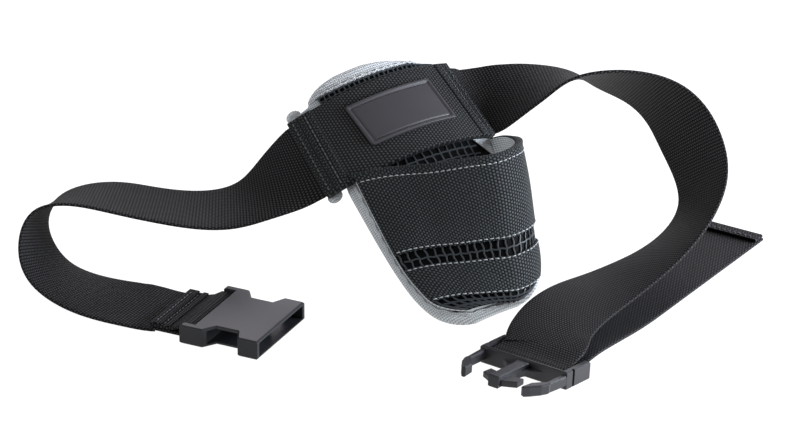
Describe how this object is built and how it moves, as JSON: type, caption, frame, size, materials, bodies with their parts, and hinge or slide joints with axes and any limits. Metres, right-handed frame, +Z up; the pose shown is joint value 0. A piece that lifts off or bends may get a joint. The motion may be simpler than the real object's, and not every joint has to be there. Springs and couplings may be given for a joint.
{
  "type": "fishing fighting belt",
  "caption": "Waist belt with a padded belly plate and a sewn, open-topped pouch that holds a rod butt, a webbing belt through a sleeve, and a side-release buckle, lying unclipped.",
  "frame": {"origin": "middle of the footprint, on the table the belt lies on", "axes": "+X to the viewer's right along the belt's longest reach, +Y away from the viewer, +Z up"},
  "size_m": [0.4492, 0.2702, 0.1155],
  "materials": {
    "spacer_mesh": "matt",
    "net": "matt",
    "webbing": "matt",
    "label_rubber": "satin",
    "buckle_plastic": "satin"
  },
  "bodies": {
    "root": {"back_pad": "spacer_mesh", "front_net": "net", "belt_sleeve": "webbing", "label_patch": "label_rubber", "pouch_lining": "spacer_mesh", "pouch_net": "net", "pouch_band_upper": "webbing", "pouch_band_lower": "webbing", "belt_left": "webbing", "belt_right": "webbing", "belt_tail": "webbing", "tail_hem": "webbing", "female_buckle": "buckle_plastic", "male_buckle": "buckle_plastic"}
  },
  "joints": []
}
